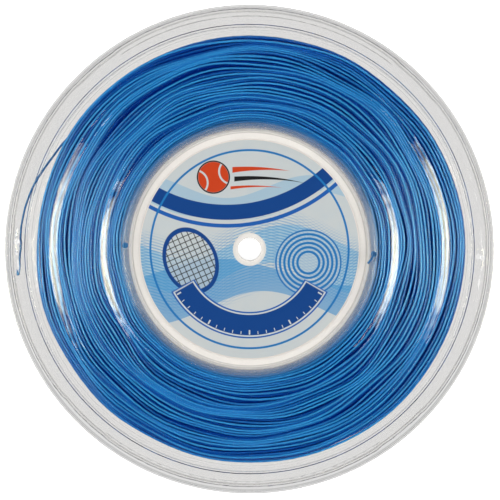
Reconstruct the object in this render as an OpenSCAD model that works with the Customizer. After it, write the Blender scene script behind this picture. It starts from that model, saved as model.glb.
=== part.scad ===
// Reel of racket string: two clear moulded halves pressed together back to back, a round label
// on the front hub, and one long blue string wound between the flanges.
// The reel lies on its back flange. +Z is the axis of the bore, the label faces +Z with its top
// towards +Y, and the origin is on that axis, at the level of the back rim.

/* [Spool] */
// Outer diameter of the flanges
flange_d = 255; // [245:1:280]
// Width between the flanges, where the string lies
inner_width = 18; // [14:1:26]
// Thickness of the moulded wall
wall = 1.6; // [1.3:0.1:2.2]

/* [Rim] */
// Diameter at which the rim band begins, outside the step
rim_band_d = 232.6; // [229:0.2:240]
// How far the rim band stands out from the flange
rim_step_h = 1.5; // [0.8:0.1:2.5]
// Width of the sloping step inside the rim band
rim_step_w = 0.3; // [0.2:0.1:3]
// Distance of the middle of the fine step in the rim band from the edge of the flange
fine_step_inset = 5.6; // [4.5:0.1:7]
// How far the rim band drops at its fine step
fine_step_h = 0.3; // [0.1:0.05:0.6]
// Width of the fine step
fine_step_w = 0.7; // [0.3:0.1:1.5]
// Height of the edge lip above the rim band
lip_h = 1.9; // [1.5:0.1:3]
// Thickness of the edge lip
lip_w = 1.1; // [0.8:0.1:2]
// Radius of the lip's outer edge
lip_edge_r = 0.45; // [0.2:0.05:0.6]

/* [Raised panel] */
// Inner diameter of the raised ring panel of a flange, at its foot
panel_inner_d = 146.8; // [142:0.2:160]
// Outer diameter of the raised ring panel, at its foot
panel_outer_d = 210.8; // [190:0.2:220]
// Height of the panel above the flange
panel_rise = 2; // [0.5:0.1:2.5]
// Width of the slope on each side of the panel
panel_slope_w = 5.3; // [3:0.1:8]

/* [Hub] */
// Diameter at which the hub's rounded edge meets the flat of the flange
hub_mouth_d = 137.6; // [134:0.2:140]
// Radius of the hub's rounded edge
hub_edge_r = 6; // [5:0.1:7]
// Draft angle of the hub's wall
hub_draft = 10; // [4:1:14]
// Diameter of the boss round the bore
boss_d = 17.2; // [15:0.1:24]
// Height of the boss above the hub's floor
boss_h = 2; // [1:0.1:4]
// Diameter of the bore for the user's spindle
bore_d = 12; // [8:0.1:13]

/* [Pins] */
// Number of pins that join the halves
pin_count = 6; // [3:1:10]
// Diameter of the circle on which the pins lie
pin_circle_d = 76; // [50:1:100]
// Diameter of a pin
pin_d = 4; // [3:0.1:6]
// Length of a pin
pin_l = 3; // [2:0.1:6]
// Gap between a pin and its socket, all round and at the end
pin_gap = 0.05; // [0.02:0.01:0.2]
// Thickness of the wall round a socket
socket_wall = 1.6; // [1:0.1:3]
// Thickness of the end of a socket's boss
socket_end = 0.6; // [0.4:0.1:2]

/* [Label] */
// Distance from the label's edge to the foot of the hub's wall
label_inset = 4.2; // [1:0.1:12]
// Thickness of the label
label_t = 0.3; // [0.1:0.05:0.6]
// Gap between the label's hole and the boss
label_gap = 0.2; // [0.1:0.05:1]

/* [String] */
// Diameter of the string
string_d = 1.25; // [1.1:0.01:1.4]
// Diameter of the full winding
winding_d = 224.4; // [215:0.2:230]
// Gap between the winding and the plastic
winding_gap = 0.3; // [0.2:0.05:0.6]
// Gap between the outer layer of turns and the core of the winding
layer_gap = 0.1; // [0.05:0.05:0.3]
// Number of turns that the outer layer has
turns = 24; // [12:1:24]

/* [String holes] */
// Diameter of a hole for an end of the string
string_hole_d = 3.2; // [2.6:0.1:4]
// Distance of the holes by the hub inside the circle where its rounded edge meets the flange
hub_hole_inset = 3.6; // [3:0.1:4.2]
// Distance of the holes in the rim band from the edge of the flange
rim_hole_inset = 5.6; // [5:0.1:6]
// Angle by which the line of holes is turned from the X axis
hole_turn = -2; // [-4:0.5:0]

/* [Hidden] */
round_fn = 180;
pin_fn = 32;
overlap = 0.01;

// Levels, measured from the plane in which the two halves meet
floor_z = wall;
flange_z = inner_width / 2 + wall;
panel_z = flange_z + panel_rise;
band_z = flange_z + rim_step_h;
lip_z = band_z + lip_h;
edge_z = band_z - fine_step_h;

// Radii on which the string holes lie
hub_hole_r = hub_mouth_d / 2 - hub_hole_inset;
rim_hole_r = flange_d / 2 - rim_hole_inset;
fine_step_r = flange_d / 2 - fine_step_inset;

// Centre of the hub's rounded edge in the half section, and where the hub's wall meets its floor
edge_centre = [hub_mouth_d / 2, flange_z - hub_edge_r];
edge_start = edge_centre + hub_edge_r * [-cos(hub_draft), sin(hub_draft)];
floor_r = edge_start[0] - (edge_start[1] - floor_z) * tan(hub_draft);
label_r = floor_r - label_inset;
edge_steps = 8;
slope_steps = 8;
lip_steps = 4;

// The outer layer of turns: its level at the flange, its radius at the outside, and the radius
// on which it follows the hub's rounded edge. The runs between its rings are straight, so the
// middle of a run lies closer to the axis than the rings do.
rings_per_turn = 24;
run_angle = 360 / rings_per_turn;
ring_reach = 1 / cos(run_angle / 2);
layer_z = inner_width / 2 - winding_gap - string_d / 2;
layer_r = (winding_d / 2 - string_d / 2) / ring_reach;
layer_edge_r = hub_edge_r - wall - winding_gap - string_d / 2;
turn_start = hole_turn + 6;
last_runs = 9;
run_count = (turns - 1) * rings_per_turn + last_runs;
layer_sides = 6;
cord_sides = 8;
end_run = 1.5 * string_d;

// The core stays clear of the outer layer
core_z = layer_z - string_d / 2 - layer_gap;
core_r = layer_r - string_d / 2 - layer_gap;
core_edge_r = layer_edge_r - string_d / 2 - layer_gap;
core_edge_centre = edge_centre + [hub_mouth_d / 2 * (ring_reach - 1), 0];

// Route of the string's inner end: distance out from the centre of the hole by the hub, angle from
// the hole, and level above the flange's face
start_route = [
    [-2.8, -4.5, -0.4], [-2.2, -3.5, 0.2], [-1.5, -2.5, 0.5], [-0.8, -1.5, 0.3],
    [-0.3, -0.8, -0.4], [-0.1, -0.4, -1.4], [-0.1, -0.2, -2.6], [0.0, 0.0, -3.8],
    [0.1, 0.4, -4.7], [0.2, 1.0, -5.15], [0.2, 2.0, -5.35]
];
// Route of the string's outer end: radius, angle, and level above the plane between the halves
tail_route = [
    [111.2, 143, -8.0], [112.4, 147, -8.0], [113.8, 151, -8.0], [115.4, 155, -8.0],
    [117.2, 159, -8.1], [119.0, 163, -8.2], [120.4, 167, -8.2], [121.4, 171, -8.3],
    [121.8, 174, -8.3], [121.9, 176.6, -8.3], [121.9, 176.9, -8.45], [121.9, 177.25, -8.8],
    [121.9, 177.5, -9.5], [121.9, 177.8, -10.6], [121.9, 178.05, -11.7], [121.9, 178.3, -12.4],
    [121.9, 178.6, -12.75], [122.0, 179.0, -12.9], [122.2, 180.2, -12.9], [122.5, 181.4, -12.9],
    [123.0, 183.2, -12.9], [123.7, 185.0, -12.9], [124.3, 186.6, -12.9]
];

function unit(v) = v / norm(v);

function arc(centre, r, from, to, steps) =
    [for (i = [0 : steps]) let (a = from + (to - from) * i / steps) centre + r * [cos(a), sin(a)]];

// A slope that leaves and reaches the flat smoothly
function slope(a, b, steps) = [
    for (i = [0 : steps])
        let (along = i / steps, up = (1 - cos(180 * along)) / 2)
        [a[0] + (b[0] - a[0]) * along, a[1] + (b[1] - a[1]) * up]
];

// Normals of a section's line, to its right, and the line moved to that side by a distance
function side(a, b) = let (d = unit(b - a)) [d[1], -d[0]];
function moved_point(line, i, distance) =
    i == 0 ? line[0] + distance * side(line[0], line[1])
    : i == len(line) - 1 ? line[i] + distance * side(line[i - 1], line[i])
    : let (n = side(line[i - 1], line[i]), m = side(line[i], line[i + 1]))
        line[i] + distance * (n + m) / (1 + n * m);
function moved_line(line, distance) = [for (i = [0 : len(line) - 1]) moved_point(line, i, distance)];
function backwards(list) = [for (i = [len(list) - 1 : -1 : 0]) list[i]];

// Face of a half, from the bore out over the hub, the raised panel and the step to the edge
half_face = concat(
    [[bore_d / 2, floor_z], [floor_r, floor_z]],
    arc(edge_centre, hub_edge_r, 180 - hub_draft, 90, edge_steps),
    slope([panel_inner_d / 2, flange_z], [panel_inner_d / 2 + panel_slope_w, panel_z], slope_steps),
    slope([panel_outer_d / 2 - panel_slope_w, panel_z], [panel_outer_d / 2, flange_z], slope_steps),
    [[rim_band_d / 2 - rim_step_w, flange_z], [rim_band_d / 2, band_z]],
    [[fine_step_r - fine_step_w / 2, band_z], [fine_step_r + fine_step_w / 2, edge_z], [flange_d / 2, edge_z]]
);

// The lip, with its outer edge rounded
lip_section = concat(
    [[flange_d / 2 - lip_w, edge_z - wall], [flange_d / 2, edge_z - wall]],
    arc([flange_d / 2 - lip_edge_r, lip_z - lip_edge_r], lip_edge_r, 0, 90, lip_steps),
    [[flange_d / 2 - lip_w, lip_z]]
);

module half_section() {
    polygon(concat(half_face, backwards(moved_line(half_face, wall))));
    polygon(lip_section);
    translate([bore_d / 2, 0])
        square([(boss_d - bore_d) / 2, floor_z + boss_h]);
}

// Holes for the ends of the string, in pairs across the bore, by the hub and in the rim band
module string_holes() {
    for (hole_r = [hub_hole_r, rim_hole_r])
        for (half_turn = [0, 180])
            rotate(hole_turn + half_turn)
                translate([hole_r, 0, 0])
                    cylinder(d = string_hole_d, h = lip_z, $fn = pin_fn);
}

module half_shell() {
    difference() {
        rotate_extrude($fn = round_fn)
            half_section();
        string_holes();
    }
}

module at_pins() {
    for (i = [0 : pin_count - 1])
        rotate(360 * (i + 0.5) / pin_count)
            translate([pin_circle_d / 2, 0, 0])
                children();
}

module front_half() {
    color([0.88, 0.9, 0.91, 0.4])
        translate([0, 0, lip_z])
            union() {
                half_shell();
                at_pins()
                    translate([0, 0, -pin_l])
                        cylinder(d = pin_d, h = pin_l + floor_z / 2, $fn = pin_fn);
            }
}

module back_half() {
    color([0.86, 0.88, 0.9, 0.4])
        translate([0, 0, lip_z])
            rotate([180, 0, 0])
                difference() {
                    union() {
                        rotate([0, 0, -2 * hole_turn])
                            half_shell();
                        at_pins()
                            translate([0, 0, floor_z / 2])
                                cylinder(d = pin_d + 2 * (pin_gap + socket_wall),
                                    h = pin_l + pin_gap + socket_end - floor_z / 2, $fn = pin_fn);
                    }
                    at_pins()
                        translate([0, 0, -overlap])
                            cylinder(d = pin_d + 2 * pin_gap, h = pin_l + pin_gap + overlap, $fn = pin_fn);
                }
}

module front_label() {
    color([0.82, 0.86, 0.88])
        translate([0, 0, lip_z + floor_z])
            difference() {
                cylinder(r = label_r, h = label_t, $fn = round_fn);
                translate([0, 0, -overlap])
                    cylinder(d = boss_d + 2 * label_gap, h = label_t + 2 * overlap, $fn = pin_fn);
            }
}

// Space that a half and the gap beside it take from the winding
module kept_clear() {
    line = moved_line([for (i = [0 : edge_steps + 2]) half_face[i]], wall + winding_gap);
    last_z = line[len(line) - 1][1];
    polygon(concat(line, [[winding_d, last_z], [winding_d, lip_z], [0, lip_z], [0, line[0][1]]]));
}

// Room for the outer layer of turns, which follows the hub's edge and the front flange
module layer_room() {
    line = concat(arc(core_edge_centre, core_edge_r, 180 - hub_draft, 90, edge_steps), [[winding_d, core_z]]);
    lowest = layer_line[0][1] - string_d / 2 - layer_gap;
    polygon(concat([[0, lowest], [line[0][0], lowest]], line, [[winding_d, lip_z], [0, lip_z]]));
}

module string_core() {
    color([0.08, 0.3, 0.6])
        translate([0, 0, lip_z])
            rotate_extrude($fn = round_fn)
                difference() {
                    translate([0, -inner_width / 2])
                        square([core_r, inner_width]);
                    kept_clear();
                    mirror([0, 1])
                        kept_clear();
                    layer_room();
                }
}

// Line in the half section along which the turns of the outer layer lie side by side
layer_line = concat(
    arc(edge_centre, layer_edge_r, 180 - hub_draft, 90, edge_steps),
    [[layer_r, layer_z], [layer_r, -layer_z]]
);
function line_length(line, i = 1) =
    i >= len(line) ? 0 : norm(line[i] - line[i - 1]) + line_length(line, i + 1);
function point_along(line, distance, i = 1) =
    let (step = norm(line[i] - line[i - 1]))
    distance <= step || i == len(line) - 1
        ? line[i - 1] + (line[i] - line[i - 1]) * min(distance / step, 1)
        : point_along(line, distance - step, i + 1);

// A point given by its radius, its angle and its level above the plane between the halves
function place(r, angle, level) = [r * cos(angle), r * sin(angle), level + lip_z];

layer_length = line_length(layer_line);
// The first and last runs are half as long, so both ends of the winding point straight along the turn
winding_path = [
    for (i = [0 : run_count + 1])
        let (
            is_end = i == 0 || i > run_count,
            turned = min(max(i - 0.5, 0), run_count),
            p = point_along(layer_line, layer_length * turned / run_count)
        )
        place(p[0] * (is_end ? 1 : ring_reach), turn_start + run_angle * turned, p[1])
];
last_ring = len(winding_path) - 1;
start_run = unit(winding_path[0] - winding_path[1]) * end_run;
tail_run = unit(winding_path[last_ring] - winding_path[last_ring - 1]) * end_run;

// Least gap of the winding to itself: its rings lie in line from turn to turn
turn_gaps = [
    for (i = [0 : last_ring - rings_per_turn])
        for (j = [-1 : 1])
            if (i + rings_per_turn + j <= last_ring)
                norm(winding_path[i] - winding_path[i + rings_per_turn + j]) - string_d
];
echo(least_gap_of_winding_to_itself = min(turn_gaps));

// A tube of flat sides along a path. The reference direction is never along the path.
function ring_points(path, i, r, sides, reference) =
    let (
        ahead = unit(path[min(i + 1, len(path) - 1)] - path[max(i - 1, 0)]),
        across = unit(cross(reference, ahead)),
        upright = cross(ahead, across)
    )
    [
        for (k = [0 : sides - 1])
            let (a = 360 * (k + 0.5) / sides)
            path[i] + r * (cos(a) * across + sin(a) * upright)
    ];

module string_tube(path, sides, reference) {
    last = len(path) - 1;
    points = [for (i = [0 : last]) each ring_points(path, i, string_d / 2, sides, reference)];
    walls = [
        for (i = [0 : last - 1])
            for (k = [0 : sides - 1])
                let (a = i * sides + k, b = i * sides + (k + 1) % sides)
                each [[a, a + sides, b + sides], [a, b + sides, b]]
    ];
    ends = [
        for (k = [1 : sides - 2])
            each [[0, k, k + 1], [last * sides, last * sides + k + 1, last * sides + k]]
    ];
    polyhedron(points, concat(walls, ends));
}

module string_winding() {
    color([0.12, 0.42, 0.72])
        string_tube(winding_path, layer_sides, [0, 0, 1]);
}

module string_start() {
    color([0.1, 0.35, 0.65])
        string_tube(
            concat(
                [for (p = start_route) place(hub_hole_r + p[0], hole_turn + p[1], flange_z + p[2])],
                [winding_path[0] + start_run, winding_path[0]]
            ),
            cord_sides, [1, 0, 0]
        );
}

module string_tail() {
    color([0.1, 0.35, 0.65])
        string_tube(
            concat(
                [winding_path[last_ring], winding_path[last_ring] + tail_run],
                [for (p = tail_route) place(p[0], p[1], p[2])]
            ),
            cord_sides, [1, 0, 0]
        );
}

front_half();
back_half();
front_label();
string_core();
string_winding();
string_start();
string_tail();
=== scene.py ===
"""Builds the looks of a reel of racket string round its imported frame, in metres."""

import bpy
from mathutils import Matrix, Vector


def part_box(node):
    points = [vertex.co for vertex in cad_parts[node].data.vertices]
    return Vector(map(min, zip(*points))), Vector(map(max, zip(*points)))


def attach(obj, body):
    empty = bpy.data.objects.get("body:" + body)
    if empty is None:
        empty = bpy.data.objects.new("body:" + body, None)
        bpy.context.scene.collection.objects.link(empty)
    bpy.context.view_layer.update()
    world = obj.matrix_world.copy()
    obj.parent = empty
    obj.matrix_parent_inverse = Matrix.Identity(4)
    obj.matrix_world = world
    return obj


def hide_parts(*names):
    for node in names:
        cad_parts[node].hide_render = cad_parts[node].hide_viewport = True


bl_info = {
    "name": "String Reel",
    "version": (1, 0, 0),
    "blender": (4, 5, 0),
    "location": "View3D > Sidebar > String Reel",
    "description": "Clear reel with its printed label and a wound, twisted string",
    "category": "Object",
}

from math import atan2, cos, pi, radians, sin, tan

import bpy
import numpy as np
from bpy.props import FloatProperty, FloatVectorProperty, IntProperty, PointerProperty
from bpy.types import Operator, Panel, PropertyGroup
from mathutils import Vector

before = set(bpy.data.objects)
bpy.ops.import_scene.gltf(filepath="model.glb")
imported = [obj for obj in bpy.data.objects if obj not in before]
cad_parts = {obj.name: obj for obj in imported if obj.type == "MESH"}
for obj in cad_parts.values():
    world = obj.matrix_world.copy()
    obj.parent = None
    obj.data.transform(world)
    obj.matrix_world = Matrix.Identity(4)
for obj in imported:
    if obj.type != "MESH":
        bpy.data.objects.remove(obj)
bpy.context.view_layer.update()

MM = 0.001

# The reel's radius and height, and the level of the plane where its halves meet
REEL_R, _, REEL_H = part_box("front_half")[1]
MID_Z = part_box("back_half")[1].z


def select_none():
    """Leaves nothing selected or active."""
    for o in bpy.context.selected_objects:
        o.select_set(False)
    bpy.context.view_layer.objects.active = None


# ---- node helpers


def new_material(name):
    """An empty node material with its output node."""
    mat = bpy.data.materials.new(name)
    mat.use_nodes = True
    nt = mat.node_tree
    nt.nodes.clear()
    out = nt.nodes.new("ShaderNodeOutputMaterial")
    return mat, nt, out


def set_input(nt, socket, value):
    """Links an input to a Field, a socket or a node's first output, or gives it a value."""
    if isinstance(value, Field):
        value = value.socket
    if isinstance(value, bpy.types.Node):
        value = value.outputs[0]
    if isinstance(value, bpy.types.NodeSocket):
        nt.links.new(value, socket)
    else:
        socket.default_value = value


def node(nt, kind, settings=None, **inputs):
    """Adds a node. Its inputs are given by their name with _ for a space, or by i and their number."""
    n = nt.nodes.new("ShaderNode" + kind)
    for key, value in (settings or {}).items():
        setattr(n, key, value)
    for key, value in inputs.items():
        numbered = key[0] == "i" and key[1:].isdigit()
        set_input(nt, n.inputs[int(key[1:]) if numbered else key.replace("_", " ")], value)
    return n


def mixed(nt, factor, a, b):
    """A colour between a and b."""
    n = node(nt, "Mix", {"data_type": "RGBA"})
    sockets = {s.identifier: s for s in n.inputs}
    set_input(nt, sockets["Factor_Float"], factor)
    for key, colour in (("A_Color", a), ("B_Color", b)):
        is_socket = isinstance(colour, bpy.types.NodeSocket)
        set_input(nt, sockets[key], colour if is_socket else (*colour[:3], 1.0))
    return next(s for s in n.outputs if s.identifier == "Result_Color")


class Field:
    """A number that a material works out at each point. Its signs and methods add nodes."""

    def __init__(self, nt, socket):
        self.nt, self.socket = nt, socket

    def by(self, operation, *others):
        """What an operation makes of this and any others."""
        inputs = {f"i{k}": value for k, value in enumerate((self, *others))}
        return Field(self.nt, node(self.nt, "Math", {"operation": operation}, **inputs).outputs[0])

    def __add__(self, other):
        return self.by("ADD", other)

    def __sub__(self, other):
        return self.by("SUBTRACT", other)

    def __mul__(self, other):
        return self.by("MULTIPLY", other)

    def __truediv__(self, other):
        return self.by("DIVIDE", other)

    def __abs__(self):
        return self.by("ABSOLUTE")

    def turned(self):
        """1 less this."""
        return self * -1.0 + 1.0

    def rise(self, low, high):
        """0 at low and before it, 1 at high and past it, and straight in between."""
        ramp = node(self.nt, "MapRange", {"clamp": True}, Value=self, From_Min=low, From_Max=high)
        return Field(self.nt, ramp.outputs[0])

    def above(self, limit, soft=0.07):
        """1 above a limit and 0 below it, with a soft step."""
        return self.rise(limit - soft, limit + soft)

    def below(self, limit, soft=0.07):
        """1 below a limit and 0 above it, with a soft step."""
        return self.above(limit, soft).turned()

    def within(self, limit, soft=0.07):
        """1 where this lies less than limit from 0."""
        return abs(self).below(limit, soft)

    def sawtooth(self, step):
        """How far this lies from the middle of the step that it is on, in shares of a step."""
        return (self / step).by("FRACT") - 0.5


def length_of(x, y):
    """Length of the arrow with these two parts."""
    return (x * x + y * y).by("SQRT")


def parts_of(nt, vector):
    """The three numbers of a vector."""
    return [Field(nt, part) for part in node(nt, "SeparateXYZ", i0=vector).outputs]


def object_xyz(nt):
    """The place on the object, whole and in its three parts."""
    place = node(nt, "TexCoord").outputs["Object"]
    return place, parts_of(nt, place)


def noise(nt, place, scale, detail, roughness=0.5):
    """Smooth chance round 0.5, with this many lumps to the metre."""
    texture = node(nt, "TexNoise", Vector=place, Scale=scale, Detail=detail, Roughness=roughness)
    return Field(nt, texture.outputs[0])


# ---- sizes and colours


def a_length(name, description, default):
    """A setting in metres."""
    return FloatProperty(name=name, description=description, default=default, unit="LENGTH")


def an_angle(name, description, degrees):
    """A setting that is an angle."""
    return FloatProperty(name=name, description=description, default=radians(degrees), subtype="ANGLE")


def a_share(name, description, default):
    """A setting from 0 to 1."""
    return FloatProperty(name=name, description=description, default=default, min=0, max=1, subtype="FACTOR")


def a_colour(name, description, default):
    """A setting that is a colour."""
    return FloatVectorProperty(name=name, description=description, default=default, subtype="COLOR")


class StringSettings(PropertyGroup):
    """The string and how it is wound."""

    diameter: a_length("Diameter", "Thickness of the string", 1.25 * MM)
    pitch: a_length("Pitch", "How far a turn moves across the reel", 1.75 * MM)
    stations: IntProperty(name="Stations", description="Points on each turn", default=96, min=24)
    sides: IntProperty(name="Sides", description="Sides of the string", default=8, min=5)
    turns: IntProperty(name="Turns", description="Whole turns on the reel", default=362)
    looseness: a_length("Looseness", "How far the outer turns stand out where they are loosest", 2.0 * MM)
    seed: IntProperty(name="Seed", description="Seed of the winding's chance", default=11)
    colour: a_colour("Colour", "Colour of the string", (0.024, 0.222, 0.55))
    deep_colour: a_colour("Deep colour", "Colour of the string's darker stretches", (0.008, 0.155, 0.45))
    roughness: a_share("Roughness", "Roughness of the string", 0.12)
    # The ends are the same string, painted darker than the turns as shade, as they lie deeper under the
    # clear plastic
    end_shade_colour: a_colour("End colour", "Colour of the string's ends", (0.008, 0.09, 0.30))
    winding_start: FloatVectorProperty(
        name="Winding start", description="Where the first turn begins", unit="LENGTH"
    )
    winding_end: FloatVectorProperty(
        name="Winding end", description="Where the last turn ends", unit="LENGTH"
    )
    twist: a_length("Twist", "Length in which the string's edges turn once", 5.6 * MM)


class SpoolSettings(PropertyGroup):
    """The clear plastic of the two halves."""

    tint: a_colour("Tint", "What one surface lets through", (0.955, 0.95, 0.945))
    roughness: a_share("Roughness", "Roughness of the polish", 0.035)
    ior: FloatProperty(name="IOR", description="Refractive index of the plastic", default=1.57)
    milk: a_colour("Milk", "Colour of the milky hub", (0.95, 0.92, 0.88))
    milkiness: a_share("Milkiness", "How milky the hub is", 0.72)
    milk_from: a_length("Milk from", "Radius at which the plastic is all clear", 67.4 * MM)
    milk_to: a_length("Milk to", "Radius at which it is as milky as it gets", 62.9 * MM)
    # The lines at the hub's corner and inside the lip are painted shade lines
    hub_corner: a_length(
        "Hub corner", "Radius of the fine shade line where the hub's wall meets its floor", 61.6 * MM
    )
    lip_line: a_length("Lip line", "Radius of the darker line inside the lip", 125.9 * MM)
    shrink: a_length("Shrink", "How far each half stands back, so that they don't share a face", 0.02 * MM)


class LabelSettings(PropertyGroup):
    """The print on the label."""

    paper: a_colour("Paper", "Ground colour", (0.65, 0.69, 0.69))
    margin: a_colour("Margin", "Colour of the bare margin", (0.86, 0.80, 0.75))
    dark_blue: a_colour(
        "Dark blue", "Colour of the ribbon, the gauge and the racket's frame", (0.010, 0.065, 0.27)
    )
    ribbon_blue: a_colour(
        "Ribbon blue", "Colour of the thin line and the gauge's edge", (0.02, 0.125, 0.46)
    )
    ring_blue: a_colour("Ring blue", "Colour of the ring line and the coil", (0.02, 0.20, 0.52))
    sky_blue: a_colour("Sky blue", "Colour of the middle wave and the engraved lines", (0.07, 0.33, 0.64))
    pale_blue: a_colour("Pale blue", "Colour of the pale waves", (0.22, 0.50, 0.72))
    orange: a_colour("Orange", "Colour of the ball and two of its flight lines", (0.66, 0.065, 0.018))
    black: a_colour(
        "Black", "Colour of the racket's strings, a flight line and the ball's edge", (0.012, 0.012, 0.014)
    )


class StageSettings(PropertyGroup):
    """Camera, floor and lamps."""

    camera_height: a_length("Camera height", "Height of the camera over the middle of the reel", 1.09)
    camera_forward: a_length("Camera forward", "How far the camera stands towards the label's top", 0.032)
    view_width: a_length("View width", "Width that the frame takes in at the reel's front", 0.2604)
    aim_right: a_length("Aim right", "Aim point to the right of the axis", 0.26 * MM)
    floor_glow: a_share("Floor glow", "How white the floor is to the camera", 0.85)
    floor_through: a_share("Floor through", "How white the floor is through the clear plastic", 0.93)
    lamp_power: FloatProperty(
        name="Lamp power", description="Power of each lamp", default=5.9, unit="POWER"
    )
    lamp_width: a_length("Lamp width", "Width of a lamp", 0.75)
    lamp_depth: a_length("Lamp depth", "Depth of a lamp", 0.6)
    lamp_distance: a_length("Lamp distance", "Distance of a lamp", 1.15)
    lamp_tilt: an_angle("Lamp tilt", "Angle of a lamp from the zenith", 37)
    lamp_turn: an_angle("Lamp turn", "Angle of a lamp towards the label's top", 1.5)
    lamp_spread: an_angle("Lamp spread", "Half the width of each half of a lamp's face, as an angle", 23)
    lamp_apart: an_angle("Lamp apart", "Angle from the middle of a lamp's face to that of each half", 9)
    lamp_middle: an_angle("Lamp middle", "Angle of the middle of a lamp's face from the zenith", 62)
    lamp_reach: an_angle("Lamp reach", "Angle from the middle of a lamp's face to its upper edge", 46)
    lamp_face: FloatProperty(
        name="Lamp face", description="Brightness of a lamp's face in reflections", default=9.0
    )
    lamp_colour: a_colour("Lamp colour", "Colour of a lamp's face", (1.0, 0.96, 0.68))
    fill: a_share("Fill", "Light from low all round", 0.45)
    walls: a_share("Walls", "Brightness at eye level in reflections", 0.3)


# ---- the wound string

# Level of the flange's outer face over the middle plane
FLANGE_Z = 10.6 * MM
# The rounding from the hub's wall to the flange: its centre, as radius and level, how far from there the
# string's middle can lie, and the slant of the wall
HUB_EDGE = (68.8 * MM, 4.6 * MM)
HUB_EDGE_R = 3.475 * MM
HUB_DRAFT = radians(10)
# Where the winding starts by the hub and where it ends at the rim
WINDING_START_ANGLE = radians(4)
WINDING_START_LEVEL = 5.203 * MM
WINDING_END_ANGLE = radians(139)
WINDING_END_R = 110.62 * MM
# Turns over which chance sets in and dies down, and over which the string rises or sinks to its end
BEGIN_TURNS, END_TURNS, LIFT_TURNS = 1.5, 0.5, 0.4
# Level of the string's middle where it touches the flange
SIDE_LEVEL = 8.075 * MM
# How far past the flanges the guide goes, while the string stays there, and how the pitch varies
DWELL = (-0.2 * MM, 1.2 * MM)
PITCH_RANGE = (0.86, 1.14)
# Points over which the string bends when the guide turns back
BEND_POINTS = 25
# Distance of strings that press on each other, as a share of their thickness
PRESSED = 0.895
# Where the outer turns stand out: the middle and half the width in degrees, and the share
BULGES = ((130, 48, 1.0), (-6, 40, 2.4), (-52, 18, 0.5))
# How far a string strays sideways and stands off what it lies on, how often, in points, and its chance
STRAY, STRAY_STEP = 0.45 * MM, 13
STAND_OFF, STAND_STEP = 0.5 * MM, 11
CHANCE_SPREAD = 0.6
# Waves that go round the reel, their height, and how far they turn in each millimetre outwards
RIPPLES = (3, 5, 6, 8, 9, 11, 13)
RIPPLE = 1.3 * MM
RIPPLE_LEAN = (0.15, 0.45)
# Widths over which they set in and die down, and how far past the last turn they end
RIPPLE_START, RIPPLE_STOP, RIPPLE_PAST = 12 * MM, 8 * MM, 2 * MM
# Depth over which light falls off between the turns, and under the flange
LIGHT_DEPTH = 0.62 * MM
LIGHT_SUNK = 12.0 * MM
# Light by the milky hub: its share, how far past the hub's edge it ends, and the width over which it fades
HUB_LIGHT, HUB_LIGHT_REACH, HUB_LIGHT_FADE = 0.8, 2.4 * MM, 4 * MM
# How far a point may slide off the turns below it, in how many tries, how hard and how quickly
SLIDE, SLIDE_TRIES = 0.9 * MM, 11
STIFF = 1.2 * MM
FOLLOW = 0.12
# Turns that can lie under a point, points that the stiff string spans each way, and points laid at once
TURNS_UNDER, SPAN_POINTS, LAID_POINTS = 70, 5, 12


def hub_radius(level):
    """How close to the axis the string's middle can come at a level above the middle plane."""
    level = np.abs(level)
    meet_z = HUB_EDGE[1] + HUB_EDGE_R * sin(HUB_DRAFT)
    meet_r = HUB_EDGE[0] - HUB_EDGE_R * cos(HUB_DRAFT)
    wall = meet_r - (meet_z - level) * tan(HUB_DRAFT)
    edge = HUB_EDGE[0] - np.sqrt(np.maximum(HUB_EDGE_R**2 - (level - HUB_EDGE[1]) ** 2, 0))
    return np.where(level > meet_z, edge, wall)


def traverse(count, per_turn, pitch, rng):
    """Levels of the winding's points, made from its end backwards: to and fro between the flanges."""
    levels = np.empty(count)
    level, direction, low, high, step = -SIDE_LEVEL, 1, -SIDE_LEVEL, SIDE_LEVEL, pitch / per_turn
    for i in range(count):
        levels[i] = min(max(level, -SIDE_LEVEL), SIDE_LEVEL)
        level += direction * step
        if level > high or level < low:
            direction = 1 if level < low else -1
            reach = SIDE_LEVEL + rng.uniform(*DWELL)
            low, high = (-reach, high) if direction < 0 else (low, reach)
            step = pitch * rng.uniform(*PITCH_RANGE) / per_turn
    return levels[::-1]


def bulge(angle):
    """How far the outer turns stand out where they cross each other, as shares of the looseness."""
    total = np.zeros_like(angle)
    for middle, half_width, share in BULGES:
        off = np.abs((np.degrees(angle) - middle + 180) % 360 - 180) / half_width
        total += share * np.where(off < 1, (1 + np.cos(pi * off)) / 2, 0)
    return total


def spline(a, b, c, d, t):
    """A smooth curve through four values: b where t is 0, c where it is 1."""
    return 0.5 * (2 * b + (c - a) * t + (2 * a - 5 * b + 4 * c - d) * t**2 + (3 * b - a - 3 * c + d) * t**3)


def eased(share):
    """A share from 0 to 1 that sets in and comes to rest gently."""
    return share * share * (3 - 2 * share)


def bell(points):
    """Weights of a running mean over this many points, highest in the middle."""
    weights = np.hanning(points + 2)[1:-1]
    return weights / weights.sum()


def windowed(values, reach, axis, mode):
    """Each value and those up to reach places from it, on a new last axis."""
    pads = [(0, 0)] * values.ndim
    pads[axis] = (reach, reach)
    return np.lib.stride_tricks.sliding_window_view(np.pad(values, pads, mode=mode), 2 * reach + 1, axis)


def wander(count, step, rng):
    """Smooth chance along the string: a new value every so many points, mostly between -1 and 1."""
    values = rng.normal(0, CHANCE_SPREAD, count // step + 4)
    at = np.arange(count) / step
    k = at.astype(int)
    return spline(values[k], values[k + 1], values[k + 2], values[k + 3], at % 1.0)


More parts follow.
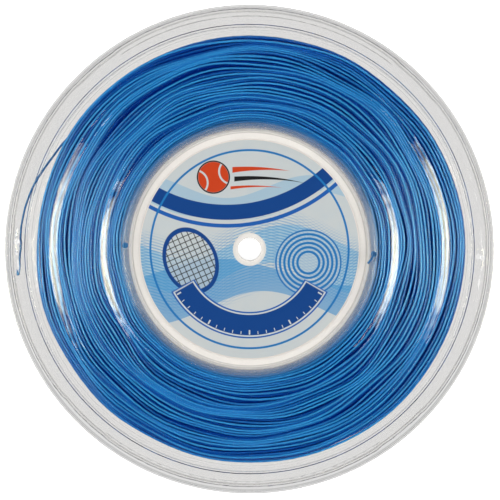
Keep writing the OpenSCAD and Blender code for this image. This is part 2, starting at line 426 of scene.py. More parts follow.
def ripple(angles, radii, rng):
    """How far the turns lie out of round, bundle by bundle: long waves that change slowly outwards."""
    total = np.zeros_like(radii)
    for around in RIPPLES:
        for across in (rng.uniform(*RIPPLE_LEAN), -rng.uniform(*RIPPLE_LEAN)):
            phase = around * angles + across * radii / MM + rng.uniform(0, 2 * pi)
            total += np.cos(phase) / around**0.5
    total /= sum(2 / m**0.5 for m in RIPPLES) ** 0.5
    grow = np.clip((radii - radii.min()) / RIPPLE_START, 0, 1)
    shrink = np.clip((radii.max() + RIPPLE_PAST - radii) / RIPPLE_STOP, 0, 1)
    return RIPPLE * (grow * shrink) * total


def wind(settings):
    """Lays the string on turn by turn, each point on what lies below. Returns angles, radii and levels."""
    rng = np.random.default_rng(settings.seed)
    n, d = settings.stations, settings.diameter * PRESSED
    share_of_turn = ((WINDING_END_ANGLE - WINDING_START_ANGLE) % (2 * pi)) / (2 * pi)
    turns = settings.turns + share_of_turn
    count = int(round(turns * n)) + 1
    order = np.arange(count)
    to_come = count - 1 - order
    levels = traverse(count, n, settings.pitch, rng)
    begin = eased(np.clip(order / (BEGIN_TURNS * n), 0, 1))
    end = np.clip(to_come / (END_TURNS * n), 0, 1)
    levels = levels + STRAY * wander(count, STRAY_STEP, rng) * begin * end
    levels = WINDING_START_LEVEL * (1 - begin) + np.clip(levels, -SIDE_LEVEL, SIDE_LEVEL) * begin
    levels = np.convolve(np.pad(levels, BEND_POINTS // 2, mode="edge"), bell(BEND_POINTS), mode="valid")
    angles = WINDING_START_ANGLE + order * 2 * pi / n
    # What a layer adds grows with the square of the way along, so that all of them add up to the bulge
    layers = turns * settings.pitch / (2 * SIDE_LEVEL)
    slack = settings.looseness * 3 * bulge(angles) / layers
    # Where chance is over 0.5, a turn stands off what it lies on
    loose = STAND_OFF * np.clip(wander(count, STAND_STEP, rng) - 0.5, 0, 1.5) * begin * end

    rows = count // n + 1
    radius, level = np.full((rows, n), np.nan), np.full((rows, n), np.nan)
    flat_radius, flat_level = radius.reshape(-1), level.reshape(-1)
    moves = np.linspace(-SLIDE, SLIDE, SLIDE_TRIES)

    def seat(turn, station, at_level):
        """The lowest the string can lie at these levels, on the hub and the turns under it."""
        first, below = max(turn[0] - TURNS_UNDER, 0), turn[-1]
        under = hub_radius(at_level)
        if below:
            r, z = radius[first:below, station], level[first:below, station]
            while r.ndim <= at_level.ndim:
                r, z = r[..., None], z[..., None]
            gap = np.abs(z - at_level)
            high = r + np.sqrt(np.maximum(d * d - gap * gap, 0))
            high = np.where(np.isnan(high) | (gap >= d), 0, high)
            under = np.maximum(under, high.max(0))
        return under

    support = np.zeros(count)
    known, moved = 0, 0.0
    window = bell(2 * SPAN_POINTS + 1)
    for at in range(0, count, LAID_POINTS):
        last = min(at + LAID_POINTS, count)
        until = min(last + 2 * SPAN_POINTS, count)
        if until > known:
            i = np.arange(known, until)
            turn, station = i // n, i % n
            tries = np.clip(levels[i, None] + moves, -SIDE_LEVEL, SIDE_LEVEL)
            cost = seat(turn, station, tries) + moves**2 / STIFF
            wanted = moves[cost.argmin(1)]
            for k, j in enumerate(i):
                moved += FOLLOW * (wanted[k] - moved)
                levels[j] = min(max(levels[j] + moved, -SIDE_LEVEL), SIDE_LEVEL)
            along = i / count
            support[i] = seat(turn, station, levels[i]) + slack[i] * along * along + loose[i]
            known = until
        left, right = min(at, 2 * SPAN_POINTS), min(count - last, 2 * SPAN_POINTS)
        ends = (2 * SPAN_POINTS - left, 2 * SPAN_POINTS - right)
        part = np.pad(support[at - left : last + right], ends, mode="edge")
        highest = np.lib.stride_tricks.sliding_window_view(part, 2 * SPAN_POINTS + 1).max(1)
        flat_radius[at:last] = np.convolve(highest, window, mode="valid")[: last - at]
        flat_level[at:last] = levels[at:last]
    radii = flat_radius[:count].copy()
    radii += ripple(angles, radii, rng) * begin * end
    radii += (WINDING_END_R - radii[-1]) * eased(1 - np.clip(to_come / (LIFT_TURNS * n), 0, 1))
    return angles, radii, levels


class Light:
    """How much light reaches a point of the winding, from how deep it lies under the turns round it. Two
    maps hold the highest turns of the front and the back, and outside the largest radius at each angle."""

    # Size of a map's cell, the radius and stations over which the highest turn and the mean are taken, and
    # how deep a gap counts at most
    cell, near, highest_over, mean_over = 0.2 * MM, 1.2 * MM, 2, 3
    deepest = 6 * MM

    def __init__(self, angles, radii, levels, stations, half):
        self.half, self.low = half, radii.min() - 2 * half
        self.cells = int((radii.max() + 3 * half - self.low) / self.cell) + 1
        column = np.arange(len(angles)) % stations
        self.outside = np.zeros(stations)
        np.maximum.at(self.outside, column, radii + half)
        self.tops = []
        reach = int(half / self.cell) + 1
        for side in (1, -1):
            top = np.full((stations, self.cells), SIDE_LEVEL - self.deepest)
            for k in range(-reach, reach + 1):
                row = ((radii - self.low) / self.cell).astype(int) + k
                off = self.low + (row + 0.5) * self.cell - radii
                on = np.abs(off) < half
                high = side * levels[on] + np.sqrt(half**2 - off[on] ** 2)
                np.maximum.at(top, (column[on], row[on]), high)
            self.tops.append(self.spread(top))

    def spread(self, top):
        """The mean height of the highest turns round each place."""
        span = int(self.near / self.cell)
        high = windowed(top, self.highest_over, 0, "wrap").max(-1)
        high = windowed(high, span, 1, "edge").max(-1)
        high = windowed(high, self.mean_over, 0, "wrap").mean(-1)
        return windowed(high, span, 1, "edge").mean(-1)

    def at(self, column, radius, level):
        """Light from 0 to 1 at points with these stations, radii and levels."""
        row = np.clip(((radius - self.low) / self.cell).astype(int), 0, self.cells - 1)
        share = np.exp(-(self.outside[column] - radius) / LIGHT_DEPTH)
        for side, top in zip((1, -1), self.tops):
            under = top[column, row] - side * level
            sunk = SIDE_LEVEL + self.half - top[column, row]
            share = np.maximum(share, np.exp(-np.maximum(under, 0) / LIGHT_DEPTH - sunk / LIGHT_SUNK))
        by_hub = np.clip((HUB_EDGE[0] + HUB_LIGHT_REACH - radius) / HUB_LIGHT_FADE, 0, 1)
        return np.clip(np.maximum(share, HUB_LIGHT * by_hub), 0, 1)


# ---- string geometry

# UV map and attribute that the string's material reads
STRING_MAP = "along_string"
STRING_LIGHT = "light"
# Pieces that the winding is cut into
WOUND_PIECES = 4

# Radius and angle of a hole by the hub. The other lies across from it
HUB_HOLE = (65.2, -2.0)
# Route of the string's inner end: radius and angle from that hole, and level from the flange's outer face
START_ROUTE = (
    (-2.8, -4.5, -0.4), (-2.2, -3.5, 0.2), (-1.5, -2.5, 0.5), (-0.8, -1.5, 0.3),
    (-0.3, -0.8, -0.4), (-0.1, -0.4, -1.4), (-0.1, -0.2, -2.6), (0.0, 0.0, -3.8),
    (0.1, 0.4, -4.7), (0.2, 1.0, -5.15), (0.2, 2.0, -5.35),
)
# Route of the outer end: radius, angle and level over the middle plane
TAIL_ROUTE = (
    (111.2, 143, -8.0), (112.4, 147, -8.0), (113.8, 151, -8.0), (115.4, 155, -8.0),
    (117.2, 159, -8.1), (119.0, 163, -8.2), (120.4, 167, -8.2), (121.4, 171, -8.3),
    (121.8, 174, -8.3), (121.9, 176.6, -8.3), (121.9, 176.9, -8.45), (121.9, 177.25, -8.8),
    (121.9, 177.5, -9.5), (121.9, 177.8, -10.6), (121.9, 178.05, -11.7), (121.9, 178.3, -12.4),
    (121.9, 178.6, -12.75), (122.0, 179.0, -12.9), (122.2, 180.2, -12.9), (122.5, 181.4, -12.9),
    (123.0, 183.2, -12.9), (123.7, 185.0, -12.9), (124.3, 186.6, -12.9),
)
# Distance between the points of their paths
START_STEP, TAIL_STEP = 0.4 * MM, 0.6 * MM


def tube(name, centres, across, upright, radius, sides, start_length=0.0, light=None):
    """A closed tube round a line of points. Its UV map holds the turn round the string and the metres along
    it, and its light attribute how much light reaches it."""
    count = len(centres)
    turn = 2 * pi * (np.arange(sides) + 0.5) / sides
    ring = np.cos(turn)[:, None] * across[:, None, :] + np.sin(turn)[:, None] * upright[:, None, :]
    points = centres[:, None, :] + radius * ring
    i, k = np.meshgrid(np.arange(count - 1), np.arange(sides), indexing="ij")
    after = (k + 1) % sides
    quads = np.stack([i * sides + k, (i + 1) * sides + k, (i + 1) * sides + after, i * sides + after], -1)
    quads = quads.reshape(-1, 4)
    caps = np.concatenate([np.arange(sides), (count - 1) * sides + np.arange(sides)[::-1]])
    corners = np.concatenate([quads.reshape(-1), caps])
    starts = np.concatenate([np.arange(len(quads)) * 4, len(quads) * 4 + np.array([0, sides])])
    mesh = bpy.data.meshes.new(name)
    mesh.vertices.add(count * sides)
    mesh.vertices.foreach_set("co", points.reshape(-1).astype(np.float32))
    mesh.loops.add(len(corners))
    mesh.loops.foreach_set("vertex_index", corners.astype(np.int32))
    mesh.polygons.add(len(starts))
    mesh.polygons.foreach_set("loop_start", starts.astype(np.int32))
    smooth = np.ones(len(starts), bool)
    smooth[-2:] = False
    mesh.polygons.foreach_set("use_smooth", smooth)
    steps = np.linalg.norm(np.diff(centres, axis=0), axis=1)
    along = start_length + np.concatenate([[0], np.cumsum(steps)])
    u = np.stack([k, k, k + 1, k + 1], -1).reshape(-1) / sides
    v = along[np.stack([i, i + 1, i + 1, i], -1).reshape(-1)]
    cap_v = np.repeat([along[0], along[-1]], sides)
    uv = np.concatenate([np.stack([u, v], -1), np.stack([np.zeros(2 * sides), cap_v], -1)])
    layer = mesh.uv_layers.new(name=STRING_MAP)
    layer.data.foreach_set("uv", uv.reshape(-1).astype(np.float32))
    lit = mesh.attributes.new(STRING_LIGHT, "FLOAT", "POINT")
    lit.data.foreach_set("value", np.ones(count * sides, np.float32) if light is None else light(points))
    mesh.update(calc_edges=True)
    mesh.validate()
    piece = bpy.data.objects.new(name, mesh)
    bpy.context.scene.collection.objects.link(piece)
    return piece


def bare_end(name, path, settings):
    """One of the string's ends, along any smooth path that doesn't run along X."""
    ahead = np.gradient(path, axis=0)
    ahead /= np.linalg.norm(ahead, axis=1)[:, None]
    across = np.cross(ahead, [1.0, 0.0, 0.0])
    across /= np.linalg.norm(across, axis=1)[:, None]
    piece = tube(name, path, across, np.cross(across, ahead), settings.diameter / 2, settings.sides)
    # The ends take the darker copy of the string's material, painted shade
    piece.data.materials.append(bpy.data.materials["string_end_finish"])
    return piece


def smooth_path(points, step):
    """Points about a step apart on a smooth curve through the given ones."""
    p = np.array(points, float)
    p = np.concatenate([[2 * p[0] - p[1]], p, [2 * p[-1] - p[-2]]])
    found = []
    for a, b, c, d in zip(p, p[1:], p[2:], p[3:]):
        parts = max(int(np.linalg.norm(c - b) / step), 1)
        found += [spline(a, b, c, d, t) for t in np.arange(parts) / parts]
    return np.array([*found, p[-2]])


def placed(radius, degrees, level):
    """A point in metres from its radius and level over the middle plane in millimetres and its angle."""
    turn = radians(degrees)
    return [radius * MM * cos(turn), radius * MM * sin(turn), MID_Z + level * MM]


# The string's twisted edges: how many, how high, and the lighter blue painted on them as sheen and its share
STRING_EDGES, EDGE_HEIGHT, EDGE_STRENGTH = 8, 0.05 * MM, 0.28
EDGE_SHEEN_BLUE, EDGE_SHEEN_SHARE = (0.06, 0.29, 0.60), 0.35
# Colour painted on the string as shade deep between the turns, where the turns above keep the light out
PAINTED_SHADE_BLUE = (0.0, 0.021, 0.235)
# Lighter and darker stretches in each metre, and how far the dark ones go towards the deep colour
STRETCHES, STRETCH_SHARE = 3.1, 0.4
# Grains in each metre, their height by the edges', and what they do to the colour and to the roughness
GRAIN, GRAIN_HEIGHT, GRAIN_COLOUR, GRAIN_ROUGH = 2600.0, 0.6, 0.5, 0.12
# Refractive index that gives the string its gloss, and the gloss's colour
STRING_IOR, STRING_SHINE = 1.75, (0.55, 0.9, 1.0, 1)


def string_material(name, colour, deep, roughness, twist):
    """Drawn polyester: eight twisted edges with a painted sheen, stretches that are a little darker, and a
    deep blue painted as shade where the turns above keep the light out."""
    mat, nt, out = new_material(name)
    round_, along, _ = parts_of(nt, node(nt, "UVMap", {"uv_map": STRING_MAP}))
    edges = ((round_ + along / twist) * (2 * pi * STRING_EDGES)).by("COSINE")
    stretch = node(nt, "TexNoise", {"noise_dimensions": "1D"}, W=along * STRETCHES, Scale=1.0, Detail=3.0)
    grain = noise(nt, object_xyz(nt)[0], GRAIN, 2.0)
    light = Field(nt, node(nt, "Attribute", {"attribute_name": STRING_LIGHT}).outputs["Fac"])
    shade = Field(nt, stretch.outputs[0]).rise(0.3, 0.75) + (grain - 0.5) * GRAIN_COLOUR
    base = mixed(nt, (shade * STRETCH_SHARE).rise(0, 1), colour, deep)
    # Painted sheen: a lighter blue on the ridges of the twisted edges
    base = mixed(nt, edges.rise(0.1, 1.0) * EDGE_SHEEN_SHARE, base, EDGE_SHEEN_BLUE)
    # Painted shade: the string goes towards a dark blue where little light reaches it between the turns
    base = mixed(nt, light.turned(), base, PAINTED_SHADE_BLUE)
    height = edges + grain * GRAIN_HEIGHT
    bump = node(nt, "Bump", Strength=EDGE_STRENGTH, Distance=EDGE_HEIGHT, Height=height)
    rough = grain * GRAIN_ROUGH + (roughness - GRAIN_ROUGH / 2)
    shader = node(
        nt, "BsdfPrincipled", Base_Color=base, Roughness=rough, Normal=bump, IOR=STRING_IOR,
        Specular_Tint=STRING_SHINE,
    )
    nt.links.new(shader.outputs[0], out.inputs[0])
    return mat


# The camera's sensor in millimetres, and the nearest and farthest that it sees
SENSOR_WIDTH = 36
VIEW_NEAR, VIEW_FAR = 0.05, 60


class REEL_OT_camera(Operator):
    """Sets the camera over the reel"""

    bl_idname = "reel.camera"
    bl_label = "Camera"

    def execute(self, context):
        s = context.scene.reel_stage
        data = bpy.data.cameras.new("camera")
        camera = bpy.data.objects.new("camera", data)
        context.scene.collection.objects.link(camera)
        camera.location = (0, s.camera_forward, MID_Z + s.camera_height)
        target = Vector((s.aim_right, 0, REEL_H))
        view = target - camera.location
        camera.rotation_euler = (atan2(view.y, -view.z), atan2(-view.x, -view.z), 0)
        data.sensor_width = SENSOR_WIDTH
        data.lens = SENSOR_WIDTH * view.length / s.view_width
        data.clip_start, data.clip_end = VIEW_NEAR, VIEW_FAR
        context.scene.camera = camera
        return {"FINISHED"}


class REEL_OT_string_tail(Operator):
    """Leads the string's outer end from the winding through the hole in the back rim"""

    bl_idname = "reel.string_tail"
    bl_label = "String Tail"

    def execute(self, context):
        s = context.scene.reel_string
        exit_point = s.winding_end
        route = [placed(*p) for p in TAIL_ROUTE]
        path = smooth_path([exit_point, *route], TAIL_STEP)
        piece = bare_end("string_tail_end", path, s)
        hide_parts("string_tail")
        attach(piece, "root")
        return {"FINISHED"}


class REEL_OT_string_start(Operator):
    """Brings the string's inner end in through the hole by the hub"""

    bl_idname = "reel.string_start"
    bl_label = "String Start"

    def execute(self, context):
        s = context.scene.reel_string
        route = [placed(HUB_HOLE[0] + p[0], HUB_HOLE[1] + p[1], FLANGE_Z / MM + p[2]) for p in START_ROUTE]
        path = smooth_path([*route, s.winding_start], START_STEP)
        piece = bare_end("string_start_end", path, s)
        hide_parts("string_start")
        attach(piece, "root")
        return {"FINISHED"}


class REEL_OT_winding(Operator):
    """Winds the string on the hub, turn on turn"""

    bl_idname = "reel.winding"
    bl_label = "Winding"

    def execute(self, context):
        s = context.scene.reel_string
        angles, radii, levels = wind(s)
        outward = np.stack([np.cos(angles), np.sin(angles), np.zeros_like(angles)], -1)
        upright = np.tile([0.0, 0.0, 1.0], (len(angles), 1))
        centres = outward * radii[:, None] + upright * (MID_Z + levels)[:, None]
        finish = string_material("string_finish", s.colour, s.deep_colour, s.roughness, s.twist)
        # A darker copy of the string's material for its ends, as painted shade
        string_material("string_end_finish", s.end_shade_colour, s.deep_colour, s.roughness, s.twist)
        cuts = np.linspace(0, len(angles) - 1, WOUND_PIECES + 1).astype(int)
        steps = np.linalg.norm(np.diff(centres, axis=0), axis=1)
        light = Light(angles, radii, levels, s.stations, s.diameter / 2)
        for k in range(WOUND_PIECES):
            part = slice(cuts[k], cuts[k + 1] + 1)
            column = (np.arange(len(angles)) % s.stations)[part, None]

            def lit(points, column=column):
                """Light at each point of this piece of the string."""
                radius = np.linalg.norm(points[..., :2], axis=-1)
                return light.at(column, radius, points[..., 2] - MID_Z).reshape(-1).astype(np.float32)

            piece = tube(
                f"string_wound_{k + 1}", centres[part], outward[part], upright[part], s.diameter / 2,
                s.sides, float(steps[: cuts[k]].sum()), lit,
            )
            piece.data.materials.append(finish)
            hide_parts("string_core", "string_winding")
            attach(piece, "root")
        s.winding_start, s.winding_end = centres[0], centres[-1]
        return {"FINISHED"}


# ---- the clear halves

# Lumps in each metre of the plastic's swell, dents and scuffs, and how high they are for a swell of 1
SWELL, DENTS, SCUFFS = 38.0, 420.0, 900.0
SWELL_HEIGHT, DENT_HEIGHT, SCUFF_HEIGHT = 1.0 * MM, 0.010, 0.0007
# Shares of the milk that set in at the hub's wall and, more slowly, from its edge on
MILK_AT_WALL, MILK_FROM_EDGE = 0.78, 0.22
# How much polish is lost between the hub's wall and edge, and how much duller the hub is
UNSHINY, DULL = 0.8, 0.12
# A light ring round each hole by the hub, painted into the milk as a highlight on the hole's edge: its
# radius, half its width and how milky it is
HOLE_GLINT_R, HOLE_GLINT_HALF, HOLE_GLINT_MILK = 1.85, 0.22, 0.16
# Half the width of the painted shade lines, and how dark they are inside the lip and in the hub's corner
LINE_HALF, LIP_SHADE, CORNER_SHADE = 0.35, 0.25, 0.3
BLACK = (0.0, 0.0, 0.0)
# What lost polish lets through, and what reaches a shadow
UNSHINY_TINT = (0.9, 0.9, 0.9, 1)
SHADOW_TINT = (0.93, 0.93, 0.93, 1)
# Corners closer than this become one, and edges sharper than this stay sharp
WELD_GAP = 0.002 * MM
SHARP_ANGLE = radians(24)


def clear_material(name, settings):
    """Polished clear plastic with a moulding's soft unevenness and fine scuffs, milky towards the hub."""
    mat, nt, out = new_material(name)
    place, (x, y, _) = object_xyz(nt)
    radius = length_of(x, y) / MM
    wall, edge = settings.milk_to / MM, settings.milk_from / MM
    swell = noise(nt, place, SWELL, 2.0)
    scuff = noise(nt, place, SCUFFS, 4.0, 0.7)
    dent = noise(nt, place, DENTS, 1.0)
    height = swell + dent * DENT_HEIGHT + scuff * SCUFF_HEIGHT
    bump = node(nt, "Bump", Strength=1.0, Distance=SWELL_HEIGHT, Height=height)
    # Clear plastic, duller on the hub
    dull = radius.rise(edge + 2.5, edge - 0.5) * DULL
    rough = scuff.rise(0.45, 0.8) * 0.06 + dull + (settings.roughness - 0.01)
    # Painted shade: a darker line inside the lip
    by_lip = (radius - settings.lip_line / MM).within(LINE_HALF, 0.2)
    tint = mixed(nt, by_lip * LIP_SHADE, settings.tint, BLACK)
    glass = node(
        nt, "BsdfPrincipled", Base_Color=tint, Roughness=rough, Normal=bump, Transmission_Weight=1.0,
        IOR=settings.ior,
    )
    plain = node(nt, "BsdfTransparent", Color=UNSHINY_TINT)
    unshiny = radius.rise(edge + 2.5, edge) * radius.rise(wall, wall + 0.5) * UNSHINY
    glass = node(nt, "MixShader", i0=unshiny, i1=glass, i2=plain)
    # Milk
    milky = radius.rise(wall + 0.4, wall) * MILK_AT_WALL + radius.rise(edge, wall) * MILK_FROM_EDGE
    # Painted highlight: a light ring round each hole by the hub
    for turn in (HUB_HOLE[1], HUB_HOLE[1] + 180):
        hole = placed(HUB_HOLE[0], turn, 0)
        from_rim = length_of(x - hole[0], y - hole[1]) / MM - HOLE_GLINT_R
        milky = milky + from_rim.within(HOLE_GLINT_HALF, 0.12) * HOLE_GLINT_MILK
    # Painted shade: a darker line in the milk where the hub's wall meets its floor
    corner = (radius - settings.hub_corner / MM).within(LINE_HALF, 0.15)
    shaded = mixed(nt, corner * CORNER_SHADE, settings.milk, BLACK)
    milk = node(nt, "BsdfPrincipled", Base_Color=shaded, Roughness=0.35, Normal=bump)
    share = milky * (scuff.rise(0.3, 0.7) * 0.03 + (settings.milkiness - 0.015))
    body = node(nt, "MixShader", i0=share, i1=glass, i2=milk)
    # Straight through to a shadow
    through = node(nt, "BsdfTransparent", Color=SHADOW_TINT)
    shadow = node(nt, "LightPath").outputs["Is Shadow Ray"]
    mix = node(nt, "MixShader", i0=shadow, i1=body, i2=through)
    nt.links.new(mix.outputs[0], out.inputs[0])
    return mat


class REEL_OT_clear_halves(Operator):
    """Gives the two moulded halves their clear plastic"""

    bl_idname = "reel.clear_halves"
    bl_label = "Clear Halves"

    def execute(self, context):
        s = context.scene.reel_spool
        finish = clear_material("clear_plastic", s)
        for name in ("front_half", "back_half"):
            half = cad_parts[name]
            half.material_slots[0].material = finish
            weld = half.modifiers.new("weld", "WELD")
            weld.merge_threshold = WELD_GAP
            shrink = half.modifiers.new("shrink", "DISPLACE")
            shrink.strength, shrink.mid_level = -s.shrink, 0.0
            split = half.modifiers.new("split", "EDGE_SPLIT")
            split.split_angle, split.use_edge_sharp = SHARP_ANGLE, False
            half.modifiers.new("normals", "WEIGHTED_NORMAL").keep_sharp = False
        return {"FINISHED"}

# ---- the label


class Print:
    """Ink laid on the label, layer on layer, at places in millimetres from its middle."""

    def __init__(self, nt, inks):
        self.nt, self.inks = nt, inks
        self.place, (x, y, _) = object_xyz(nt)
        self.x, self.y = x / MM, y / MM
        self.radius = length_of(self.x, self.y)
        self.colour = mixed(nt, 0.0, inks.paper, inks.paper)

    def lay(self, ink, mask, share=1.0):
        """Lays the ink of this name where the mask is 1."""
        self.colour = mixed(self.nt, mask * share, self.colour, getattr(self.inks, ink))

    def away(self, x, y):
        """Distance from a place."""
        return length_of(self.x - x, self.y - y)

    def over_wave(self, height, swing, length, shift):
        """How far a point lies over a wavy line."""
        return self.y - (self.x / length + shift).by("SINE") * swing - height


def print_waves(page):
    """Pale and middle blue bands with wavy edges, and fine engraved lines across them."""
    mottle = noise(page.nt, page.place, 140.0, 3.0)
    page.lay("pale_blue", mottle.rise(0.4, 0.9), 0.10)
    # Each band's upper and lower edge: height, swing, length for each radian, and shift
    for ink, share, upper, lower in (
        ("pale_blue", 0.62, (4, 9, 17, 0.4), (-15, 8, 15, 0.9)),
        ("sky_blue", 0.7, (-12, 7, 21, 2.3), (-31, 9, 19, 1.2)),
        ("pale_blue", 0.5, (33, 6, 14, -0.7), (24, 7, 18, -0.2)),
    ):
        page.lay(ink, page.over_wave(*upper).below(0) * page.over_wave(*lower).above(0), share)
    line_step, line_half = 1.55, 0.11
    middle, half_width = (-8, 8, 16, 0.6), 17
    for shift, slope in ((0.0, 0.16), (1.7, -0.22)):
        run = page.over_wave(0, 6, 11, shift) + page.x * slope
        lines = run.sawtooth(line_step).within(line_half, 0.06)
        page.lay("sky_blue", lines * page.over_wave(*middle).within(half_width, 5), 0.75)


def print_coil(page):
    """Close rings on the right."""
    outer, inner, step, half = 17.5, 4.6, 2.3, 0.27
    coil = page.away(31, -7)
    page.lay("paper", coil.below(outer), 0.45)
    rings = coil.sawtooth(step).within(half, 0.06)
    page.lay("ring_blue", rings * coil.below(outer) * coil.above(inner))


def print_racket(page):
    """The racket's face on the left: an oval frame, strung."""
    x, y, half_width, half_height, lean = -31, -6, 12.5, 16.0, radians(24)
    string_step, string_half = 2.9, 0.09
    u = (page.x - x) * cos(lean) + (page.y - y) * sin(lean)
    v = (page.y - y) * cos(lean) - (page.x - x) * sin(lean)
    oval = length_of(u / half_width, v / half_height)
    strung = oval.below(1.0, 0.01)
    page.lay("paper", strung, 0.6)
    for run in (u, v):
        page.lay("black", run.sawtooth(string_step).within(string_half, 0.03) * strung, 0.85)
    page.lay("dark_blue", (oval - 1.06).within(0.075, 0.01))


def print_ribbon(page):
    """A swept ribbon with a thin line under it."""
    sweep = page.away(-12, 99)
    bands = (("dark_blue", 79.5, 4.0), ("paper", 84.9, 0.5), ("ribbon_blue", 86.6, 1.0))
    for ink, radius, half in bands:
        page.lay(ink, (sweep - radius).within(half))


def print_ball(page):
    """The ball and its three flight lines."""
    x, y, ball_r, edge_r = -19, 38, 8.0, 8.4
    ball = page.away(x, y)
    flight = page.away(4, -78)
    for ink, radius, half, start, end in (
        ("orange", 120.5, 1.5, -9, 21),
        ("black", 115.6, 1.3, -8, 29),
        ("orange", 111.2, 0.8, -10, 17),
    ):
        taper = page.x.rise(end, start) * half
        line = (abs(flight - radius) - taper).below(0)
        page.lay(ink, line * page.x.above(start) * page.x.below(end))
    page.lay("orange", ball.below(ball_r))
    seam_r, seam_x, seam_y = 6.6, 9.6, 3
    for side in (-1, 1):
        seam = (page.away(x + side * seam_x, y + side * seam_y) - seam_r).within(0.5)
        page.lay("paper", seam * ball.below(ball_r))
    page.lay("black", (ball - edge_r).within(0.35))


def print_gauge(page):
    """A curved gauge for the length of string that is left, with its ticks."""
    start, end = radians(-148), radians(-32)
    middle_r, tick_r = 40.0, 45.0
    along = (page.y.by("ARCTAN2", page.x) - start) / (end - start)
    # From the edge to the fill: half the width, and half the length as a share of the gauge
    for ink, half, half_length in (
        ("ribbon_blue", 7.0, 0.53), ("paper", 6.2, 0.523), ("dark_blue", 5.4, 0.516),
    ):
        page.lay(ink, (page.radius - middle_r).within(half) * (along - 0.5).within(half_length, 0.003))
    # Ticks in from the outer edge: their number, inner end, half the width and its softness
    on_gauge = (along - 0.5).within(0.505, 0.002)
    for parts, low, half, soft in ((20, 43.4, 0.045, 0.01), (4, 42.6, 0.018, 0.004)):
        tick = (along * parts + 0.5).sawtooth(1.0).within(half, soft)
        page.lay("paper", tick * (page.radius - (low + tick_r) / 2).within((tick_r - low) / 2) * on_gauge)


def print_edge(page):
    """A ring line round it all, and the bare margin outside it."""
    ring_r, margin_r = 52.2, 57.5
    page.lay("ring_blue", (page.radius - ring_r).within(0.55))
    page.lay("margin", page.radius.above(margin_r, 0.1))


def label_material(inks):
    """Printed film under a satin coat."""
    mat, nt, out = new_material("label_print")
    page = Print(nt, inks)
    for draw in (print_waves, print_coil, print_racket, print_ribbon, print_ball, print_gauge, print_edge):
        draw(page)
    fine = noise(nt, page.place, 1500.0, 2.0)
    bump = node(nt, "Bump", Strength=0.15, Distance=0.02 * MM, Height=fine)
    shader = node(nt, "BsdfPrincipled", Base_Color=page.colour, Normal=bump, Roughness=fine * 0.1 + 0.3)
    nt.links.new(shader.outputs[0], out.inputs[0])
    return mat


class REEL_OT_label(Operator):
    """Prints the label"""

    bl_idname = "reel.label"
    bl_label = "Label"

    def execute(self, context):
        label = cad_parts["front_label"]
        label.material_slots[0].material = label_material(context.scene.reel_label)
        return {"FINISHED"}


# ---- the stage

# How far the floor lies below the reel
FLOOR_GAP = 0.4 * MM
# Where the floor darkens, seen through the plastic, and by how much: far out, in metres, and at the rim,
# where a shadow of the rim is painted, in shares of the reel's radius
FAR_FROM, FAR_TO, FAR_SHADE = 0.25, 0.9, 0.7
RIM_FROM, RIM_TO, RIM_SHADOW = 0.985, 1.005, 0.12
# Rays past this depth come up from under the clear plastic. To them a lamp's face lies higher and is
# smaller and brighter
UNDER_DEPTH, UNDER_BRIGHTER = 4.0, 0.77
UNDER_HIGHER, UNDER_SMALLER = radians(22), radians(26)
# Brightness of each half of a lamp's face. The two overlap
HALF_FACE = 0.62


def floor_material(stage):
    """White that glows evenly to the camera, and darker far out to rays through the plastic, with a painted
    shadow of the rim under the reel's edge.
    """
    mat, nt, out = new_material("floor_white")
    rays = node(nt, "LightPath").outputs
    camera, through = Field(nt, rays["Is Camera Ray"]), Field(nt, rays["Is Transmission Ray"])
    _, (x, y, _) = object_xyz(nt)
    radius = length_of(x, y)
    far = radius.rise(FAR_FROM, FAR_TO) * -FAR_SHADE
    # Painted shadow: the floor seen through the plastic is darker from the reel's edge outwards
    rim = (radius / REEL_R).rise(RIM_FROM, RIM_TO) * RIM_SHADOW
    glow = camera * stage.floor_glow + through * (far - rim + 1.0) * stage.floor_through
    lit = node(nt, "BsdfDiffuse", Color=(0.86, 0.86, 0.86, 1))
    shine = node(nt, "Emission", Color=(1, 1, 1, 1), Strength=glow)
    added = node(nt, "AddShader", i0=lit, i1=shine)
    plain = node(nt, "MixShader", i0=through, i1=added, i2=shine)
    nt.links.new(plain.outputs[0], out.inputs[0])
    return mat


def add_lamp(context, name, side):
    """A lamp that lights the reel and isn't reflected in it, as its face is in the surroundings."""
    s = context.scene.reel_stage
    data = bpy.data.lights.new(name, "AREA")
    data.shape, data.size, data.size_y = "RECTANGLE", s.lamp_width, s.lamp_depth
    data.energy = s.lamp_power
    lamp = bpy.data.objects.new(name, data)
    context.scene.collection.objects.link(lamp)
    lamp.visible_glossy = False
    out = sin(s.lamp_tilt)
    across, up = out * cos(s.lamp_turn), out * sin(s.lamp_turn)
    away = Vector((side * across, up, cos(s.lamp_tilt)))
    lamp.location = away * s.lamp_distance
    lamp.rotation_euler = (-away).to_track_quat("-Z", "Y").to_euler()


def lamp_faces(x, y, z, under, s):
    """Brightness of the two lamps' faces, each of them two soft lozenges side by side."""
    ahead = abs(x) * cos(s.lamp_turn) + y * sin(s.lamp_turn)
    aside = y * cos(s.lamp_turn) - abs(x) * sin(s.lamp_turn)
    azimuth = aside.by("ARCTAN2", ahead)
    middle = under * -UNDER_HIGHER + s.lamp_middle
    reach = under * -UNDER_SMALLER + s.lamp_reach
    down = abs(z.by("ARCCOSINE") - middle) / reach
    left, right = (
        (abs(azimuth - side * s.lamp_apart) / s.lamp_spread + down).by("MINIMUM", 1.0) for side in (-1, 1)
    )
    face = (left * left).turned() * HALF_FACE + (right * right).turned() * HALF_FACE
    return face.by("MINIMUM", 1.0) * (under * UNDER_BRIGHTER + 1.0)


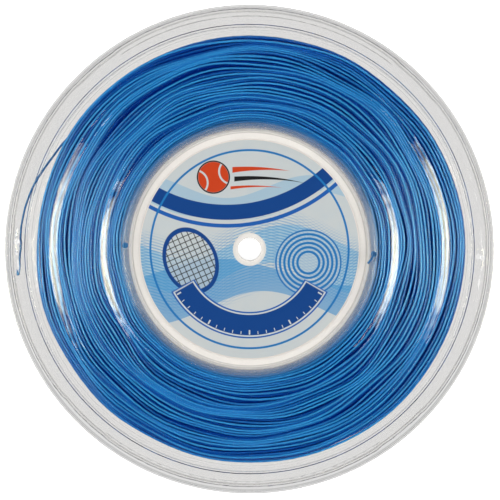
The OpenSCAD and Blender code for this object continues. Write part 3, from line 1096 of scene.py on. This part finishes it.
def add_surroundings(context):
    """White behind the reel, and an even fill. In reflections a dark ceiling, pale walls and lamps."""
    s = context.scene.reel_stage
    world = bpy.data.worlds.new("studio")
    context.scene.world = world
    world.use_nodes = True
    nt = world.node_tree
    nt.nodes.clear()
    out = nt.nodes.new("ShaderNodeOutputWorld")
    rays = node(nt, "LightPath").outputs
    x, y, z = parts_of(nt, node(nt, "TexCoord"))
    under = Field(nt, rays["Ray Depth"]).above(UNDER_DEPTH, 0.5)
    face = lamp_faces(x, y, z, under, s)
    room = z.rise(0.40, 0.10) * s.walls + face * s.lamp_face
    fill = z.rise(0.90, 0.55) * s.fill
    camera = Field(nt, rays["Is Camera Ray"])
    mirrored = Field(nt, rays["Is Glossy Ray"]).by("MAXIMUM", rays["Is Transmission Ray"])
    plain = camera + camera.turned() * fill
    strength = mirrored * room + mirrored.turned() * plain
    colour = mixed(nt, (face * mirrored).rise(0, 0.2), (1.0, 1.0, 1.0), s.lamp_colour)
    sky = node(nt, "Background", Color=colour, Strength=strength)
    nt.links.new(sky.outputs[0], out.inputs[0])


class REEL_OT_stage(Operator):
    """Lays the floor and sets the lamps and the surroundings"""

    bl_idname = "reel.stage"
    bl_label = "Stage"

    def execute(self, context):
        select_none()
        bpy.ops.mesh.primitive_plane_add(size=16, location=(0, 0, -FLOOR_GAP))
        floor = context.object
        floor.name = "floor"
        floor.data.materials.append(floor_material(context.scene.reel_stage))
        for name, side in (("lamp_left", -1), ("lamp_right", 1)):
            add_lamp(context, name, side)
        add_surroundings(context)
        context.scene.view_settings.view_transform = "Standard"
        return {"FINISHED"}


# ---- panel and run


class REEL_PT_panel(Panel):
    """Lists the reel's steps"""

    bl_idname = "REEL_PT_panel"
    bl_label = "String Reel"
    bl_space_type = "VIEW_3D"
    bl_region_type = "UI"
    bl_category = "String Reel"

    def draw(self, context):
        for step in STEPS:
            self.layout.operator(step.bl_idname)
        for group in GROUPS:
            box = self.layout.box()
            settings = getattr(context.scene, group)
            for name in settings.__annotations__:
                box.prop(settings, name)


GROUPS = {
    "reel_string": StringSettings,
    "reel_spool": SpoolSettings,
    "reel_label": LabelSettings,
    "reel_stage": StageSettings,
}
STEPS = (
    REEL_OT_camera, REEL_OT_winding, REEL_OT_string_tail, REEL_OT_string_start, REEL_OT_clear_halves,
    REEL_OT_label, REEL_OT_stage,
)


def register():
    for cls in (*GROUPS.values(), *STEPS, REEL_PT_panel):
        bpy.utils.register_class(cls)
    for name, cls in GROUPS.items():
        setattr(bpy.types.Scene, name, PointerProperty(type=cls))


def unregister():
    for name in GROUPS:
        delattr(bpy.types.Scene, name)
    for cls in (REEL_PT_panel, *reversed(STEPS), *reversed(GROUPS.values())):
        bpy.utils.unregister_class(cls)


def main():
    register()
    select_none()
    for step in STEPS:
        group, name = step.bl_idname.split(".")
        if getattr(getattr(bpy.ops, group), name)() != {"FINISHED"}:
            raise RuntimeError(f"{step.bl_idname} did not finish")


if __name__ == "__main__":
    main()
